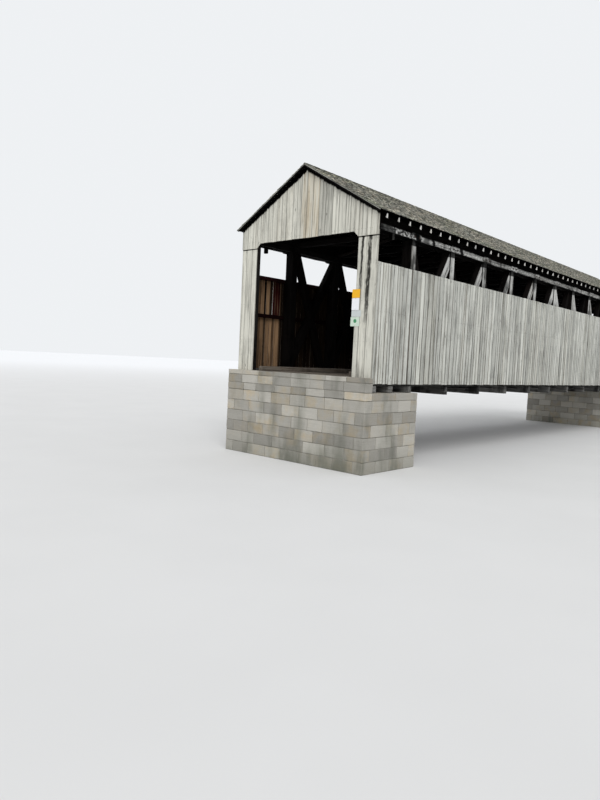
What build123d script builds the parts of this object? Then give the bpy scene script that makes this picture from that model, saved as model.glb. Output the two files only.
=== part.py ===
from build123d import *
import math
import os

# A timber covered bridge of one span: two trusses braced with crossed timbers stand on stone
# abutments, carry a plank floor between them and a shingled roof over it, and are boarded
# outside to two thirds of their height. Millimetres, +Z up. X runs along the bridge, the near
# portal is at -X, left is +Y and right is -Y. The origin is the middle of the base, where the
# abutments stand.

# Driving dimensions, plan
end_panel = 2460             # first truss post to the second
panel_step = 35              # each panel is this much shorter than the one before, to the middle
half_panels = 5              # truss panels on each side of the middle post
end_bay = 2150               # portal to the centre of the first post
outside_width = 5800         # over the side boarding
board = 25                   # thickness of every wall board

# Driving dimensions, heights
seat_z = 2400                # top of the stone that the bridge sits on
deck_z = 2840                # walking surface of the floor
siding_z = (2650, 6234)      # bottom and top of the side boarding
lower_chord_z = (2600, 2900)
upper_chord_z = (7190, 7370)
tie_beam_z = (7370, 7550)
ridge_z = 9469               # top of the shingles at the ridge

# Driving dimensions, roof
roof_pitch = 7 / 12          # rise over run
shingle_layer = 40           # thickness of the lapped shingles
lath = (25, 120)             # thickness and width of one lath
laths = 17                   # laths on each slope
lath_insets = (90, 75)       # ridge to the centre of the first, rafter end to that of the last
rake_depth = 60              # height of the boards that close the ends of the laths
rafter = (50, 140)           # width and depth
rafter_pairs = 47
end_rafter_inset = 170       # portal to the centre of the first rafter
plate_y = (2250, 2450)       # inner and outer face of the wall plates
eave_run = 3088              # ridge to eave, measured level
gable_overhang = 150         # roof beyond the face of the gable boards
shingle_overhang = 48        # shingles beyond the ends of the rafters

# Driving dimensions, portal
jamb_inner_y = 2166          # half the width of the portal opening
opening_top_z = 7143
drip_z = 6990                # bottom edge of the gable boards over each jamb
jamb_top_z = 7140            # behind the gable boards
corner_post = 200
corner_post_y = (2530, 2730)
header_z = (7160, 7400)

# Driving dimensions, truss
truss_y = (2370, 2730)       # inner and outer face of the posts
girt_depth = 120
girt_bottoms_z = (2690, 4740, 6090)
chord_plies_y = ((2320, 2480), (2620, 2780))
post_width = 260
main_brace_y = (2450, 2690)
main_brace_width = 310
main_brace_tuck = 300        # how far its ends are centred in from the chords
counter_brace_y = (2370, 2580)
counter_brace_width = 250
counter_brace_foot = 450     # how far its lower end is centred from the next post
hung_block = (100, 140, 180) # size of the block under each chord near a portal
hung_block_inset = 930       # portal to its centre

# Driving dimensions, abutment
abutment_width = 6000
seat_length = 2460
backwall = 350
bed_timber = (250, 5700)     # width and length
bed_timber_insets = (225, 1100)    # portal to the centres of the outer two

# Driving dimensions, floor
floor_beam = (200, 300)      # width and depth
stringer = (120, 165)
stringers = 7
stringer_reach = 2000        # middle line to the centre of the outer stringers
wheel_guard_y = (1900, 2050)
wheel_guard_rise = 150
lateral_brace = (70, 120)    # thickness and width
floor_brace_reach, floor_brace_drop = 2300, 250
tie_brace_reach, tie_brace_rise = 2240, 10
tie_beam_width = 180
tie_beam_reach = 2500

# Places worked out from the driving dimensions
panel_lengths = [end_panel - i * panel_step for i in range(half_panels)]
half_posts_x = [sum(panel_lengths[i:]) for i in range(half_panels)]
posts_x = [-x for x in half_posts_x] + [0] + half_posts_x[::-1]
bridge_half = posts_x[-1] + end_bay
siding_outer_y = outside_width / 2
siding_inner_y = siding_outer_y - board
jamb_inner_x = bridge_half - board
gable_outer_x = bridge_half + board
rake_x = gable_outer_x + gable_overhang
slope = math.atan(roof_pitch)
tail_run = eave_run - shingle_overhang
under_lath = shingle_layer + lath[0]
under_rafter = under_lath + rafter[1]
sides = {"left": 1, "right": -1}
ends = {"near": -1, "far": 1}


def span(side, a, b):
    """The two places a and b on one side of the middle line, lowest first."""
    return sorted((side * a, side * b))


def timber(x, y, z):
    """A squared timber between two places on each axis."""
    middle = Pos((x[0] + x[1]) / 2, (y[0] + y[1]) / 2, (z[0] + z[1]) / 2)
    return middle * Box(x[1] - x[0], y[1] - y[0], z[1] - z[0])


def profile_along_x(points_yz, x):
    """An outline drawn across the bridge, run along it from x[0] to x[1]."""
    face = Plane.YZ.offset(x[0]) * make_face(Polyline(*points_yz, close=True))
    return extrude(face, x[1] - x[0])


def crossing_strip(low, high, width, rising, tuck=0, foot=0):
    """A straight strip from side to side of the rectangle low to high, cut to fit in it. Its centre
    line meets the sides at the corners, or tuck in from them, and foot short of the lower one."""
    size = (high[0] - low[0], high[1] - low[1])
    way = 1 if rising else -1
    turn = math.degrees(math.atan2(size[1] - 2 * tuck, size[0] - foot))
    strip = Pos(way * foot / 2, 0) * Rot(Z=way * turn) * Rectangle(2 * math.hypot(*size), width)
    centre = Pos((low[0] + high[0]) / 2, (low[1] + high[1]) / 2)
    return centre * (strip & Rectangle(*size))


def upright_strip(face_xz, y):
    """A face drawn in side view, as thick as the places y[0] to y[1]."""
    return extrude(Plane.XZ.offset(-y[1]) * face_xz, y[1] - y[0])


def level_strip(face_xy, z):
    """A face drawn in plan, as thick as the places z[0] to z[1]."""
    return extrude(Plane.XY.offset(z[0]) * face_xy, z[1] - z[0])


def roof_z(run, depth=0):
    """Height on a plumb line at a level distance from the ridge, depth square to the slope."""
    return ridge_z - run * roof_pitch - depth / math.cos(slope)


def square_to_slope(side, run, depth):
    """The point that lies depth inside the roof, square below its surface at run."""
    inward = run - depth * math.sin(slope)
    return side * inward, ridge_z - run * roof_pitch - depth * math.cos(slope)


def write(name, solids):
    export_step(Compound(children=list(solids)), f"parts/{name}.step")


# Stone abutments, each a seat under the end bay with a back wall up to the floor
def abutment(end):
    face_x = bridge_half + board / 2
    seat = timber(span(end, face_x - seat_length, face_x),
                  (-abutment_width / 2, abutment_width / 2), (0, seat_z))
    back = timber(span(end, face_x, face_x + backwall),
                  (-abutment_width / 2, abutment_width / 2), (0, deck_z))
    return seat + back


# Timbers laid across each seat to spread the load
def bed_timbers():
    half, reach = bed_timber[0] / 2, bed_timber[1] / 2
    centres = [bridge_half - inset for inset in bed_timber_insets] + [posts_x[-1]]
    return [timber((end * x - half, end * x + half), (-reach, reach), (seat_z, lower_chord_z[0]))
            for end in ends.values() for x in centres]


# A chord of two plies, each in lengths that butt at every second post
def chord(side, z):
    end_x = jamb_inner_x - corner_post
    joint_gap = 4
    plies = []
    for ply, (inner, outer) in enumerate(chord_plies_y):
        joints = posts_x[1 + ply:-1:2]
        starts = [-end_x] + [x + joint_gap / 2 for x in joints]
        stops = [x - joint_gap / 2 for x in joints] + [end_x]
        plies += [timber(length, span(side, inner, outer), z) for length in zip(starts, stops)]
    return plies


def truss_posts(side):
    return [timber((x - post_width / 2, x + post_width / 2), span(side, *truss_y),
                   (lower_chord_z[1], upper_chord_z[0])) for x in posts_x]


def panel_corners(left_x, right_x):
    """The clear rectangle between two posts and the two chords, in side view."""
    return ((left_x + post_width / 2, lower_chord_z[1]),
            (right_x - post_width / 2, upper_chord_z[0]))


# Braces that rise towards the middle of the span from both ends
def main_braces(side):
    return [upright_strip(crossing_strip(*panel_corners(x, next_x), main_brace_width, x < 0,
                                         main_brace_tuck), span(side, *main_brace_y))
            for x, next_x in zip(posts_x[:-1], posts_x[1:])]


# Lighter braces that fall towards the middle, nearer the roadway and halved over the main braces.
# They stand steeper than those, and their feet stop short of the next post.
def counter_braces(side):
    braces = [upright_strip(crossing_strip(*panel_corners(x, next_x), counter_brace_width, x >= 0,
                                           foot=counter_brace_foot), span(side, *counter_brace_y))
              for x, next_x in zip(posts_x[:-1], posts_x[1:])]
    return [brace - crossed for brace, crossed in zip(braces, main_braces(side))]


# Blocks bolted over the chord's outer ply at every post, and a short one hung under it near each
# portal
def chord_blocks():
    half, rise, thickness, corner = 330, 25, 30, 90
    outer = chord_plies_y[1][1]
    low, high = upper_chord_z[0] - rise, upper_chord_z[1] + rise
    outline = ((-half, low + corner), (corner - half, low), (half - corner, low),
               (half, low + corner), (half, high - corner), (half - corner, high),
               (corner - half, high), (-half, high - corner))
    face = make_face(Polyline(*outline, close=True))
    blocks = [upright_strip(Pos(x, 0) * face, span(side, outer, outer + thickness))
              for side in sides.values() for x in posts_x]
    length, width, depth = hung_block
    ply_middle = sum(chord_plies_y[1]) / 2
    for end in ends.values():
        for side in sides.values():
            x = end * (bridge_half - hung_block_inset)
            blocks.append(timber((x - length / 2, x + length / 2),
                                 span(side, ply_middle - width / 2, ply_middle + width / 2),
                                 (upper_chord_z[0] - depth, upper_chord_z[0])))
    return blocks


# Floor: beams hung under the chords, stringers, planks and wheel guards
def floor_beams():
    half = floor_beam[0] / 2
    reach = chord_plies_y[1][1]
    return [timber((x - half, x + half), (-reach, reach),
                   (lower_chord_z[0] - floor_beam[1], lower_chord_z[0])) for x in posts_x[1:-1]]


def floor_stringers():
    half = stringer[0] / 2
    step = 2 * stringer_reach / (stringers - 1)
    places = [i * step - stringer_reach for i in range(stringers)]
    return [timber((-jamb_inner_x, jamb_inner_x), (y - half, y + half),
                   (lower_chord_z[0], lower_chord_z[0] + stringer[1])) for y in places]


def floor_deck():
    reach = chord_plies_y[0][0] - 10
    return [timber((5 - jamb_inner_x, jamb_inner_x - 5), (-reach, reach),
                   (lower_chord_z[0] + stringer[1], deck_z))]


def wheel_guards():
    reach = bridge_half - corner_post
    return [timber((-reach, reach), span(side, *wheel_guard_y), (deck_z, deck_z + wheel_guard_rise))
            for side in sides.values()]


# Crossed braces that keep the two trusses square, flat under the floor and between the ties
def lateral_braces(places, beam_width, reach, low_z):
    thickness, width = lateral_brace
    clearance = 5
    braces = []
    for x, next_x in zip(places[:-1], places[1:]):
        corners = ((x + beam_width / 2, -reach), (next_x - beam_width / 2, reach))
        for layer, rising in enumerate((True, False)):
            z = low_z + layer * (thickness + clearance)
            braces.append(level_strip(crossing_strip(*corners, width, rising),
                                      (z, z + thickness)))
    return braces


def tie_beams():
    half = tie_beam_width / 2
    return [timber((x - half, x + half), (-tie_beam_reach, tie_beam_reach), tie_beam_z)
            for x in posts_x]


# Plates on the ends of the tie beams, with tops cut to the slope of the rafters, and blocks from
# tie to tie that close the space between the plates and the chords
def wall_plates():
    inner, outer = plate_y
    block_inner, fit = inner + 80, 2
    edges = [x + way * (tie_beam_width / 2 + fit) for x in posts_x for way in (-1, 1)]
    edges = [corner_post - jamb_inner_x] + edges + [jamb_inner_x - corner_post]
    plates = [timber((start, stop), span(side, block_inner, outer), tie_beam_z)
              for side in sides.values() for start, stop in zip(edges[::2], edges[1::2])]
    for side in sides.values():
        outline = ((inner, tie_beam_z[1]), (outer, tie_beam_z[1]),
                   (outer, roof_z(outer, under_rafter)), (inner, roof_z(inner, under_rafter)))
        plates.append(profile_along_x([(side * y, z) for y, z in outline],
                                      (-bridge_half, bridge_half)))
    return plates


def rafters(side):
    outline = [(side * run, roof_z(run, depth)) for run, depth in
               ((0, under_lath), (tail_run, under_lath), (tail_run, under_rafter),
                (0, under_rafter))]
    reach = bridge_half - end_rafter_inset
    step = 2 * reach / (rafter_pairs - 1)
    starts = [i * step - reach - rafter[0] / 2 for i in range(rafter_pairs)]
    return [profile_along_x(outline, (x, x + rafter[0])) for x in starts]


def roof_laths(side):
    first, last = lath_insets[0], tail_run - lath_insets[1]
    step = (last - first) / (laths - 1)
    half = lath[1] * math.cos(slope) / 2
    reach = rake_x - board
    boards = []
    for i in range(laths):
        run = first + i * step
        corners = [square_to_slope(side, run + end, depth) for end, depth in
                   ((-half, shingle_layer), (half, shingle_layer), (half, under_lath),
                    (-half, under_lath))]
        boards.append(profile_along_x(corners, (-reach, reach)))
    return boards


def roof_shingles(side):
    outline = [(side * run, roof_z(run, depth)) for run, depth in
               ((0, 0), (eave_run, 0), (eave_run, shingle_layer), (0, shingle_layer))]
    return [profile_along_x(outline, (-rake_x, rake_x))]


# Thin boards under the shingles that close the ends of the laths
def rake_boards(end):
    ridge_gap = 1
    boards = []
    for side in sides.values():
        outline = [(side * run, roof_z(run, inside)) for run, inside in
                   ((ridge_gap, shingle_layer), (tail_run, shingle_layer),
                    (tail_run, shingle_layer + rake_depth),
                    (ridge_gap, shingle_layer + rake_depth))]
        boards.append(profile_along_x(outline, span(end, rake_x - board, rake_x)))
    return boards


# Portal frames: corner posts, jamb studs and a header between the corner posts
def portal_posts():
    stud = (100, 150)
    posts = []
    for end in ends.values():
        for side in sides.values():
            posts.append(timber(span(end, jamb_inner_x - corner_post, jamb_inner_x),
                                span(side, *corner_post_y),
                                (lower_chord_z[0], roof_z(corner_post_y[1], under_rafter))))
            posts.append(timber(span(end, jamb_inner_x - stud[1], jamb_inner_x),
                                span(side, jamb_inner_y, jamb_inner_y + stud[0]),
                                (deck_z, header_z[0])))
    return posts


def portal_headers():
    reach = corner_post_y[0]
    return [timber(span(end, bridge_half - 150, bridge_half), (-reach, reach), header_z)
            for end in ends.values()]


# Gable boards down to the drip edge, over an opening with clipped top corners
def gable(end):
    clip = opening_top_z - drip_z
    edge, inner, top = siding_outer_y, jamb_inner_y, jamb_inner_y - clip
    outline = ((0, roof_z(0, under_lath)), (edge, roof_z(edge, under_lath)), (edge, drip_z),
               (inner, drip_z), (top, opening_top_z), (-top, opening_top_z), (-inner, drip_z),
               (-edge, drip_z), (-edge, roof_z(edge, under_lath)))
    return [profile_along_x(outline, span(end, bridge_half, gable_outer_x))]


def jamb_boards(end):
    return [timber(span(end, jamb_inner_x, bridge_half), span(side, jamb_inner_y, siding_outer_y),
                   (siding_z[0], jamb_top_z)) for side in sides.values()]


# Side boarding and the girts that it is nailed to
def siding(side):
    return [timber((-jamb_inner_x, jamb_inner_x), span(side, siding_inner_y, siding_outer_y),
                   siding_z)]


def siding_girts(side):
    inner_faces = (chord_plies_y[1][1], truss_y[1], truss_y[1])
    return [timber((-jamb_inner_x, jamb_inner_x), span(side, inner, siding_inner_y),
                   (z, z + girt_depth)) for inner, z in zip(inner_faces, girt_bottoms_z)]


# Four blank plates on the near right jamb, one above the other
def sign_plates():
    plates = (((2045, 2332), (5188, 5443)), ((2045, 2315), (4827, 5182)),
              ((2050, 2404), (4627, 4821)), ((2030, 2358), (4347, 4621)))
    thickness = 5
    return [timber((-bridge_half - thickness, -bridge_half), span(-1, *y), z) for y, z in plates]


os.makedirs("parts", exist_ok=True)
for name, end in ends.items():
    write(f"abutment_{name}", [abutment(end)])
    write(f"gable_{name}", gable(end))
    write(f"jamb_boards_{name}", jamb_boards(end))
    write(f"rake_boards_{name}", rake_boards(end))
for name, side in sides.items():
    write(f"lower_chord_{name}", chord(side, lower_chord_z))
    write(f"upper_chord_{name}", chord(side, upper_chord_z))
    write(f"truss_posts_{name}", truss_posts(side))
    write(f"main_braces_{name}", main_braces(side))
    write(f"counter_braces_{name}", counter_braces(side))
    write(f"rafters_{name}", rafters(side))
    write(f"roof_laths_{name}", roof_laths(side))
    write(f"roof_shingles_{name}", roof_shingles(side))
    write(f"siding_{name}", siding(side))
    write(f"siding_girts_{name}", siding_girts(side))
write("bed_timbers", bed_timbers())
write("chord_blocks", chord_blocks())
write("floor_beams", floor_beams())
write("floor_stringers", floor_stringers())
write("floor_deck", floor_deck())
write("wheel_guards", wheel_guards())
write("lower_lateral_braces", lateral_braces(posts_x[1:-1], floor_beam[0], floor_brace_reach,
                                             lower_chord_z[0] - floor_brace_drop))
write("upper_lateral_braces", lateral_braces(posts_x, tie_beam_width, tie_brace_reach,
                                             tie_beam_z[0] + tie_brace_rise))
write("tie_beams", tie_beams())
write("wall_plates", wall_plates())
write("portal_posts", portal_posts())
write("portal_headers", portal_headers())
write("sign_plates", sign_plates())
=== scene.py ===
import math
import random

import bmesh
import bpy
from mathutils import Matrix, Vector, noise


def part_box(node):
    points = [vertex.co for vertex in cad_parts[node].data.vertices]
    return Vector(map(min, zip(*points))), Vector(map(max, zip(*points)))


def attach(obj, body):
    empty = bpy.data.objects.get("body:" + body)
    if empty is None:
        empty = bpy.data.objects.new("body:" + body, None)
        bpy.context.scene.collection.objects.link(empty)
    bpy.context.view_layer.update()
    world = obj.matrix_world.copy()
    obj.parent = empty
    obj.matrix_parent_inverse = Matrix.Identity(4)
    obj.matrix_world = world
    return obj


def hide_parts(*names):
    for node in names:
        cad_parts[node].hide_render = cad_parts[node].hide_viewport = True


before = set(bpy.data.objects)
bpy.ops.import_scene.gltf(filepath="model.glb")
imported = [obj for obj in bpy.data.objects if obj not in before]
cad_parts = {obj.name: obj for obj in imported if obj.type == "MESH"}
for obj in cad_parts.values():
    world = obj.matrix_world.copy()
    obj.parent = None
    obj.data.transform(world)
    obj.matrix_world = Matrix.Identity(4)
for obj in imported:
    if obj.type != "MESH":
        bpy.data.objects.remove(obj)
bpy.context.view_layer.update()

# Abutments
# Squared blocks of pale limestone laid in courses, each course broken over the one below, with
# slabs on top where the bridge is set down. The mortar is one core just inside their faces.


class Shade:
    """A socket of a material in an expression. A sum on it adds a Math node, and node() adds any
    other node."""

    def __init__(self, tree, socket=None):
        self.tree, self.socket = tree, socket

    def node(self, kind, settings=None, inputs=None, output=0):
        """Adds a node, its settings first, then the value or link of each input."""
        made = self.tree.nodes.new("ShaderNode" + kind)
        for name, value in (settings or {}).items():
            setattr(made, name, value)
        for name, value in (inputs or {}).items():
            if isinstance(value, Shade):
                self.tree.links.new(value.socket, made.inputs[name])
            else:
                made.inputs[name].default_value = value
        if isinstance(output, tuple):
            return [Shade(self.tree, made.outputs[wanted]) for wanted in output]
        return Shade(self.tree, made.outputs[output]) if made.outputs else None

    def maths(self, operation, *values):
        return self.node("Math", {"operation": operation}, dict(enumerate(values)))

    def __add__(self, other):
        return self.maths("ADD", self, other)

    def __sub__(self, other):
        return self.maths("SUBTRACT", self, other)

    def __rsub__(self, other):
        return self.maths("SUBTRACT", other, self)

    def __mul__(self, other):
        return self.maths("MULTIPLY", self, other)

    def __abs__(self):
        return self.maths("ABSOLUTE", self)

    __radd__, __rmul__ = __add__, __mul__

    def larger(self, other):
        return self.maths("MAXIMUM", self, other)

    def rises(self, low, high):
        """0 up to low, 1 from high, and a smooth step between."""
        return self.node("MapRange", {"interpolation_type": "SMOOTHSTEP"},
                         {"Value": self, "From Min": low, "From Max": high})

    def place(self):
        """Where a point of the surface lies in the bridge, in metres."""
        return self.node("TexCoord", output="Object")

    def own_map(self, name):
        return self.node("UVMap", {"uv_map": name})

    def parts(self):
        """The three numbers of a place or a map."""
        return self.node("SeparateXYZ", inputs={0: self}, output=(0, 1, 2))

    def stretched(self, scales):
        return self.node("VectorMath", {"operation": "MULTIPLY"}, {0: self, 1: scales})

    def noise(self, scale, detail=3, roughness=0.55):
        """Noise of about that many grains a metre, from this place. Three scales, one for each
        axis, stretch the grains."""
        place = self.stretched(scale if isinstance(scale, tuple) else (scale,) * 3)
        return self.node("TexNoise", inputs={"Vector": place, "Scale": 1, "Detail": detail,
                                             "Roughness": roughness})

    def times(self, factor):
        """A colour made lighter or darker."""
        return self.node("VectorMath", {"operation": "SCALE"}, {0: self, "Scale": factor})

    def mixed(self, one, other):
        """One colour where this is 0, another where it is 1, and a mix of both between."""
        colours = [(*colour, 1) if isinstance(colour, tuple) else colour for colour in (one, other)]
        inputs = {0: self, 6: colours[0], 7: colours[1]}
        return self.node("Mix", {"data_type": "RGBA"}, inputs, output=2)

    def surface(self, colour, roughness, height, depth, shine=0.25):
        """Ends a material: its colour, roughness and relief, and how much it shines."""
        relief = self.node("Bump", inputs={"Height": height, "Distance": depth, "Strength": 1})
        finish = self.node("BsdfPrincipled", inputs={"Base Color": colour, "Roughness": roughness,
                                                     "Normal": relief, "Specular IOR Level": shine})
        self.node("OutputMaterial", inputs={"Surface": finish})


def fresh_nodes(owner):
    owner.use_nodes = True
    owner.node_tree.nodes.clear()
    return Shade(owner.node_tree)


def new_material(name):
    made = bpy.data.materials.new(name)
    return made, fresh_nodes(made)


def block_tones(shade):
    """The random shade of each block or board, how open it lies to the weather, and its warmth."""
    tones = shade.node("Attribute", {"attribute_name": "tone"}, output="Color")
    return shade.node("SeparateColor", inputs={"Color": tones}, output=(0, 1, 2))


def limestone():
    made, shade = new_material("limestone")
    tone, _, warmth = block_tones(shade)
    place = shade.place()
    height = place.parts()[2]
    mottle, pits = place.noise(3, 5), place.noise(38, 4, 0.7)
    damp, beds = place.noise((1.2, 1.2, 0.35), 4), place.noise((2, 2, 30))
    colour = (warmth * mottle.rises(0.35, 0.7)).mixed((0.40, 0.385, 0.345), (0.43, 0.36, 0.25))
    stain = damp.rises(0.46, 0.68) * 0.55 + (1 - height.rises(0, 0.9)) * 0.3
    colour = stain.mixed(colour, (0.13, 0.135, 0.105))
    light = (0.72 + tone * 0.5) * (0.8 + pits * 0.4) * (0.88 + beds * 0.24)
    shade.surface(colour.times(light), 0.82 + pits * 0.12, pits + mottle * 2, 0.012)
    return made


def mortar():
    made, shade = new_material("lime_mortar")
    place = shade.place()
    grit, patches = place.noise(90, roughness=0.7), place.noise(2.5)
    lime = patches.rises(0.3, 0.7).mixed((0.30, 0.285, 0.25), (0.16, 0.155, 0.13))
    shade.surface(lime.times(0.75 + grit * 0.5), 0.95, grit, 0.006)
    return made


def blank():
    """An empty mesh with the maps that every board and block carries."""
    bm = bmesh.new()
    bm.loops.layers.uv.new("grain")
    bm.loops.layers.uv.new("edge")
    bm.loops.layers.float_color.new("tone")
    return bm


def squared(size):
    """A box of that size about the origin."""
    bm = blank()
    bmesh.ops.create_cube(bm, size=1)
    bmesh.ops.scale(bm, vec=size, verts=bm.verts)
    return bm


def ease(bm, edges, arris, segments=1):
    """Takes the arrises off some edges."""
    bmesh.ops.bevel(bm, geom=edges, offset=arris, segments=segments, profile=0.5, affect="EDGES",
                    material=-1)


def as_mesh(name, bm):
    mesh = bpy.data.meshes.new(name)
    bm.to_mesh(mesh)
    bm.free()
    return mesh


def add_to(whole, part):
    """Adds one finished mesh to another."""
    mesh = as_mesh("part", part)
    whole.from_mesh(mesh)
    bpy.data.meshes.remove(mesh)


def new_object(name, data):
    made = bpy.data.objects.new(name, data)
    bpy.context.scene.collection.objects.link(made)
    return made


def stand_in(name, whole, materials, slot, *nodes):
    """Makes the piece from its mesh, at the origin, in the place of its CAD nodes."""
    piece = new_object(name, as_mesh(name, whole))
    for material in materials:
        piece.data.materials.append(material)
    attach(piece, "root")
    if nodes:
        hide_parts(*nodes)


def paint(bm, tone, openness, warmth):
    """Writes one tone over a whole block."""
    layer = bm.loops.layers.float_color["tone"]
    for face in bm.faces:
        for loop in face.loops:
            loop[layer] = (tone, openness, warmth, 1)


def roughen(bm, *waves):
    """Moves each vertex by noise, of so many waves a metre and so many metres high."""
    for vert in bm.verts:
        vert.co += sum((noise.noise_vector(vert.co * often) * height for often, height in waves),
                       Vector())


masonry = random.Random(11)
noise.seed_set(11)
mortar_joint, stone_arris, stone_depth = 0.014, 0.014, 0.36
wall_stone, back_stone, seat_slab, joint_shift = 0.74, 0.80, 0.95, 0.14


def lay_block(whole, low, high):
    """A squared block between two corners, its arrises knocked off and its faces left rough."""
    block = squared(high - low - Vector((mortar_joint,) * 3))
    ease(block, block.edges[:], stone_arris)
    long_edges = [edge for edge in block.edges if edge.calc_length() > 0.1]
    bmesh.ops.subdivide_edges(block, edges=long_edges, cuts=2, use_grid_fill=True)
    bmesh.ops.translate(block, vec=(low + high) / 2, verts=block.verts)
    roughen(block, (5, 0.009), (14, 0.005))
    paint(block, masonry.random(), 1, masonry.random() ** 2)
    add_to(whole, block)


def lay_row(whole, axis, low, high, length):
    """A row of blocks of about that length along one axis, between two corners."""
    count = max(1, round((high[axis] - low[axis]) / length))
    step = (high[axis] - low[axis]) / count
    joints = [low[axis] + i * step
              + (masonry.uniform(-joint_shift, joint_shift) * step if 0 < i < count else 0)
              for i in range(count + 1)]
    for start, stop in zip(joints, joints[1:]):
        corner, opposite = low.copy(), high.copy()
        corner[axis], opposite[axis] = start, stop
        lay_block(whole, corner, opposite)


def lay_ring(whole, low, high, odd):
    """One course round a rectangle. The corners go to the other pair of walls in odd courses."""
    for axis, reach in ((0, 1), (1, 0)):
        shortened = Vector()
        shortened[axis] = stone_depth if (axis == 0) == odd else 0
        for wall in (low[reach], high[reach] - stone_depth):
            start, stop = low + shortened, high - shortened
            start[reach], stop[reach] = wall, wall + stone_depth
            lay_row(whole, axis, start, stop, wall_stone)


def core_box(whole, low, high):
    core = squared(high - low)
    bmesh.ops.translate(core, vec=(low + high) / 2, verts=core.verts)
    for face in core.faces:
        face.material_index = 1
    add_to(whole, core)


seat_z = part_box("bed_timbers")[0].z
stone_materials = (limestone(), mortar())
backwall, slab_depth, coping_depth, ring_courses = 0.35, 0.24, 0.16, 6
slab_z = seat_z - slab_depth
course = slab_z / ring_courses
recess, core_rise, core_drop = Vector((0.022, 0.022, 0)), 0.05, 0.02
for end in ("near", "far"):
    low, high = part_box(f"abutment_{end}")
    stones = blank()
    wall_x = (low.x, low.x + backwall) if end == "near" else (high.x - backwall, high.x)
    seat_x = (wall_x[1], high.x) if end == "near" else (low.x, wall_x[0])
    for i in range(ring_courses):
        lay_ring(stones, Vector((low.x, low.y, i * course)),
                 Vector((high.x, high.y, (i + 1) * course)), i % 2 == 1)
    seat_middle = sum(seat_x) / 2
    for start, stop in ((seat_x[0], seat_middle), (seat_middle, seat_x[1])):
        lay_row(stones, 1, Vector((start, low.y, slab_z)), Vector((stop, high.y, seat_z)),
                seat_slab)
    wall_courses = (slab_z, seat_z, high.z - coping_depth, high.z)
    for bottom, top in zip(wall_courses, wall_courses[1:]):
        lay_row(stones, 1, Vector((wall_x[0], low.y, bottom)), Vector((wall_x[1], high.y, top)),
                back_stone)
    core_box(stones, low + recess, Vector((high.x, high.y, slab_z + core_rise)) - recess)
    core_box(stones, Vector((wall_x[0], low.y, slab_z)) + recess,
             Vector((wall_x[1], high.y, high.z - core_drop)) - recess)
    stand_in(f"abutment_{end}_stones", stones, stone_materials, "stonework", f"abutment_{end}")

# Bed timbers and lower chords
# Heavy sawn timbers. Three lie across each abutment, and the chords that carry the trusses lie
# on them, in two plies of butted lengths. They are bolted, and darkened with painted shade.


def weathered_wood(name, sheltered, bare, warm, stained=(0.05, 0.03, 0.02), lines=0.5, blotches=0.3,
                   joints=0.35, marks=None):
    """Sawn wood, brown where sheltered and grey where bare to the weather, with grain, checks and
    knots, and its edges darkened as painted shade between the boards. Its warmest boards are
    stained where sheltered and warm where bare, and marks, some of them painted shade, may darken
    it further at a place."""
    made, shade = new_material(name)
    tone, openness, warmth = block_tones(shade)
    grain, place = shade.own_map("grain"), shade.place()
    across = shade.own_map("edge").parts()[0]
    fibre = grain.noise((90, 1.6, 1), 4, 0.65)
    bands = grain.noise((14, 0.5, 1), 4, 0.6)
    drawn = grain.noise((26, 0.33, 1), 2)
    patches = place.noise((1.6, 1.6, 1.1), 4, 0.6)
    checks = (1 - abs(drawn - 0.5).rises(0.0, 0.035)) * bands.rises(0.4, 0.6)
    knots = shade.node("TexVoronoi", inputs={"Vector": grain.stretched((4.2, 1.3, 1)), "Scale": 1})
    knot = 1 - knots.rises(0.03, 0.1)
    specks = grain.noise((48, 4.5, 1), 2).rises(0.64, 0.72) * patches.rises(0.4, 0.55)
    tint = openness.mixed(stained, warm)
    colour = (warmth * bands.rises(0.35, 0.65) * 0.8).mixed(openness.mixed(sheltered, bare), tint)
    light = 1 + (tone - 0.5) * (1.1 - openness * 0.66)
    light = light * (0.7 + fibre * 0.6) * (1 - checks * lines) * (1 - specks * lines)
    light = light * (1 - bands.rises(0.52, 0.7) * lines * 0.55)
    light = light * (1 - patches.rises(0.5, 0.66) * blotches)
    # The darkened edges are painted shade in the gaps between boards
    light = light * (1 - knot * 0.65) * (1 - abs(across).rises(0.74, 1.0) * joints)
    if marks:
        light = light * (1 - marks(place, bands, openness))
    shade.surface(colour.times(light), 0.78 + fibre * 0.2, fibre - checks * 2 - knot, 0.003, 0.04)
    return made


def span(bm, way):
    """Where a mesh begins and ends in a direction."""
    dots = [vert.co.dot(way) for vert in bm.verts]
    return min(dots), max(dots)


lumber = random.Random(5)


def random_start(draws):
    return draws.uniform(0, 40), draws.uniform(0, 40)


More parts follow.
